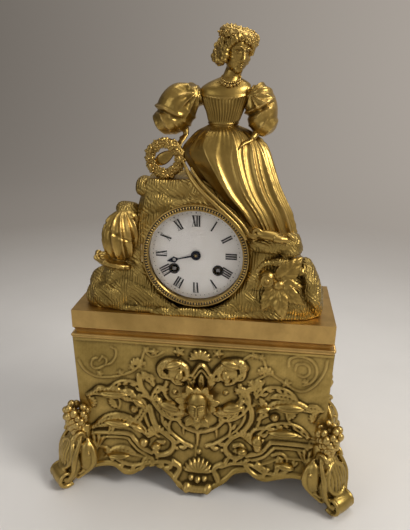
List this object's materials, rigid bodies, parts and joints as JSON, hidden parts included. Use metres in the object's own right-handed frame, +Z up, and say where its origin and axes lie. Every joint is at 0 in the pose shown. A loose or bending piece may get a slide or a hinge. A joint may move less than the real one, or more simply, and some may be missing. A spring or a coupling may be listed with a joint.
{
  "type": "figural mantel clock",
  "caption": "Gilt figural mantel clock: seated lady on a rocky mound over a round enamel dial, on a footed relief casket.",
  "frame": {"origin": "on the floor under the middle of the clock", "axes": "+Z up, dial facing -Y, +X to the viewer's right"},
  "size_m": [0.3336, 0.1676, 0.4712],
  "materials": {
    "movement_brass": "satin",
    "casket_gilt": "matt gilding with dark recesses",
    "slab_gilt": "satin gilding",
    "matt_gilt": "matt gilding",
    "burnished_gilt": "burnished gilding",
    "bezel_gilt": "burnished gilding",
    "glass": "clear",
    "enamel": "gloss enamel",
    "blued_steel": "dark",
    "steel": "satin",
    "bell_metal": "satin"
  },
  "bodies": {
    "case": {"casket_front": "casket_gilt", "casket_side_left": "casket_gilt", "casket_side_right": "casket_gilt", "casket_back": "casket_gilt", "foot_front_left": "casket_gilt", "foot_front_right": "casket_gilt", "foot_back_left": "casket_gilt", "foot_back_right": "casket_gilt", "plinth_slab": "slab_gilt", "bead_moulding": "slab_gilt", "fixing_bolts": "steel", "rock_mound": "matt_gilt", "figure_skirt": "burnished_gilt", "figure_bodice": "burnished_gilt", "figure_head": "burnished_gilt", "figure_hair": "burnished_gilt", "flower_crown": "burnished_gilt", "figure_sleeve_left": "burnished_gilt", "figure_sleeve_right": "burnished_gilt", "figure_hands": "burnished_gilt", "flower_wreath": "matt_gilt", "bonnet": "matt_gilt", "leaf_spray": "matt_gilt", "case_drum": "movement_brass", "hinge_pins": "steel", "enamel_dial": "enamel", "dial_plate": "movement_brass", "front_plate": "movement_brass", "back_plate": "movement_brass", "plate_pillars": "movement_brass", "movement_straps": "movement_brass", "back_cock": "movement_brass", "bell": "bell_metal", "bell_stand": "steel"},
    "bezel": {"front_bezel": "bezel_gilt", "bezel_glass": "glass"},
    "cover": {"rear_cover": "movement_brass"},
    "minute_pipe": {"cannon_pinion": "movement_brass"},
    "minute_wheel": {"minute_wheel": "movement_brass"},
    "hour_work": {"hour_wheel": "movement_brass", "hour_hand": "blued_steel"},
    "going_barrel": {"going_barrel": "movement_brass", "going_mainspring": "steel"},
    "going_arbor": {"going_winding_arbor": "steel"},
    "second_wheel": {"second_wheel": "movement_brass"},
    "centre_wheel": {"centre_wheel": "movement_brass"},
    "third_wheel": {"third_wheel": "movement_brass"},
    "escape_wheel": {"escape_wheel": "movement_brass"},
    "strike_barrel": {"strike_barrel": "movement_brass", "strike_mainspring": "steel"},
    "strike_arbor": {"strike_winding_arbor": "steel"},
    "pin_wheel": {"strike_pin_wheel": "movement_brass"},
    "strike_third": {"strike_third_wheel": "movement_brass"},
    "fly": {"strike_fly": "movement_brass"},
    "count_wheel": {"count_wheel": "movement_brass"},
    "anchor": {"anchor_and_crutch": "steel"},
    "pendulum": {"pendulum_rod": "steel", "pendulum_bob": "movement_brass", "rating_nut": "movement_brass"},
    "hammer": {"hammer": "movement_brass"}
  },
  "joints": [
    {"name": "bezel_hinge", "type": "hinge", "parent": "case", "child": "bezel", "pos_m": [-0.05745, -0.0397, 0.266], "axis": [0, 0, -1], "range_deg": [0, 100]},
    {"name": "cover_hinge", "type": "hinge", "parent": "case", "child": "cover", "pos_m": [-0.0571, 0.0433, 0.266], "axis": [0, 0, 1], "range_deg": [0, 100]},
    {"name": "minute_pipe_turn", "type": "hinge", "parent": "case", "child": "minute_pipe", "pos_m": [-0.0055, 0, 0.266], "axis": [0, 1, 0], "continuous": true},
    {"name": "minute_wheel_turn", "type": "hinge", "parent": "case", "child": "minute_wheel", "pos_m": [-0.0055, 0, 0.254], "axis": [0, 1, 0], "continuous": true},
    {"name": "hour_hand_turn", "type": "hinge", "parent": "case", "child": "hour_work", "pos_m": [-0.0055, 0, 0.266], "axis": [0, 1, 0], "continuous": true},
    {"name": "going_winding", "type": "hinge", "parent": "case", "child": "going_arbor", "pos_m": [0.0157, 0, 0.2514], "axis": [0, 1, 0], "continuous": true},
    {"name": "strike_winding", "type": "hinge", "parent": "case", "child": "strike_arbor", "pos_m": [-0.0267, 0, 0.2514], "axis": [0, 1, 0], "continuous": true},
    {"name": "third_wheel_turn", "type": "hinge", "parent": "case", "child": "third_wheel", "pos_m": [0.00162, 0, 0.27657], "axis": [0, 1, 0], "continuous": true},
    {"name": "centre_wheel_turn", "type": "hinge", "parent": "case", "child": "centre_wheel", "pos_m": [-0.0055, 0, 0.266], "axis": [0, 1, 0], "continuous": true},
    {"name": "escape_wheel_turn", "type": "hinge", "parent": "case", "child": "escape_wheel", "pos_m": [-0.0055, 0, 0.2845], "axis": [0, 1, 0], "continuous": true},
    {"name": "second_wheel_turn", "type": "hinge", "parent": "case", "child": "second_wheel", "pos_m": [0.00776, 0, 0.26566], "axis": [0, 1, 0], "continuous": true},
    {"name": "going_barrel_turn", "type": "hinge", "parent": "case", "child": "going_barrel", "pos_m": [0.0157, 0, 0.2514], "axis": [0, 1, 0], "continuous": true},
    {"name": "strike_third_turn", "type": "hinge", "parent": "case", "child": "strike_third", "pos_m": [-0.02212, 0, 0.27805], "axis": [0, 1, 0], "continuous": true},
    {"name": "pin_wheel_turn", "type": "hinge", "parent": "case", "child": "pin_wheel", "pos_m": [-0.02812, 0, 0.26766], "axis": [0, 1, 0], "continuous": true},
    {"name": "fly_turn", "type": "hinge", "parent": "case", "child": "fly", "pos_m": [-0.02298, 0, 0.28781], "axis": [0, 1, 0], "continuous": true},
    {"name": "strike_barrel_turn", "type": "hinge", "parent": "case", "child": "strike_barrel", "pos_m": [-0.0267, 0, 0.2514], "axis": [0, 1, 0], "continuous": true},
    {"name": "count_wheel_turn", "type": "hinge", "parent": "case", "child": "count_wheel", "pos_m": [-0.0267, 0, 0.2514], "axis": [0, 1, 0], "continuous": true},
    {"name": "pendulum_swing", "type": "hinge", "parent": "case", "child": "pendulum", "pos_m": [-0.0055, 0.01, 0.297], "axis": [0, 1, 0], "range_deg": [-2.5, 2.5]},
    {"name": "anchor_rock", "type": "hinge", "parent": "case", "child": "anchor", "pos_m": [-0.0055, 0, 0.297], "axis": [0, 1, 0], "range_deg": [-2.5, 2.5]},
    {"name": "hammer_swing", "type": "hinge", "parent": "case", "child": "hammer", "pos_m": [-0.0195, 0.0074, 0.23], "axis": [0, 1, 0], "range_deg": [-1.2, 8]}
  ],
  "couplings": [
    {"joint": "minute_wheel_turn", "follows": "minute_pipe_turn", "ratio": -0.33333},
    {"joint": "hour_hand_turn", "follows": "minute_pipe_turn", "ratio": 0.083333},
    {"joint": "escape_wheel_turn", "follows": "third_wheel_turn", "ratio": -10.714},
    {"joint": "centre_wheel_turn", "follows": "third_wheel_turn", "ratio": -0.083333},
    {"joint": "second_wheel_turn", "follows": "third_wheel_turn", "ratio": 0.015152},
    {"joint": "going_barrel_turn", "follows": "third_wheel_turn", "ratio": -0.0021645},
    {"joint": "fly_turn", "follows": "strike_third_turn", "ratio": -9},
    {"joint": "pin_wheel_turn", "follows": "strike_third_turn", "ratio": -0.11111},
    {"joint": "strike_barrel_turn", "follows": "strike_third_turn", "ratio": 0.014815},
    {"joint": "count_wheel_turn", "follows": "strike_third_turn", "ratio": 0.014815},
    {"joint": "anchor_rock", "follows": "pendulum_swing", "ratio": 1}
  ]
}
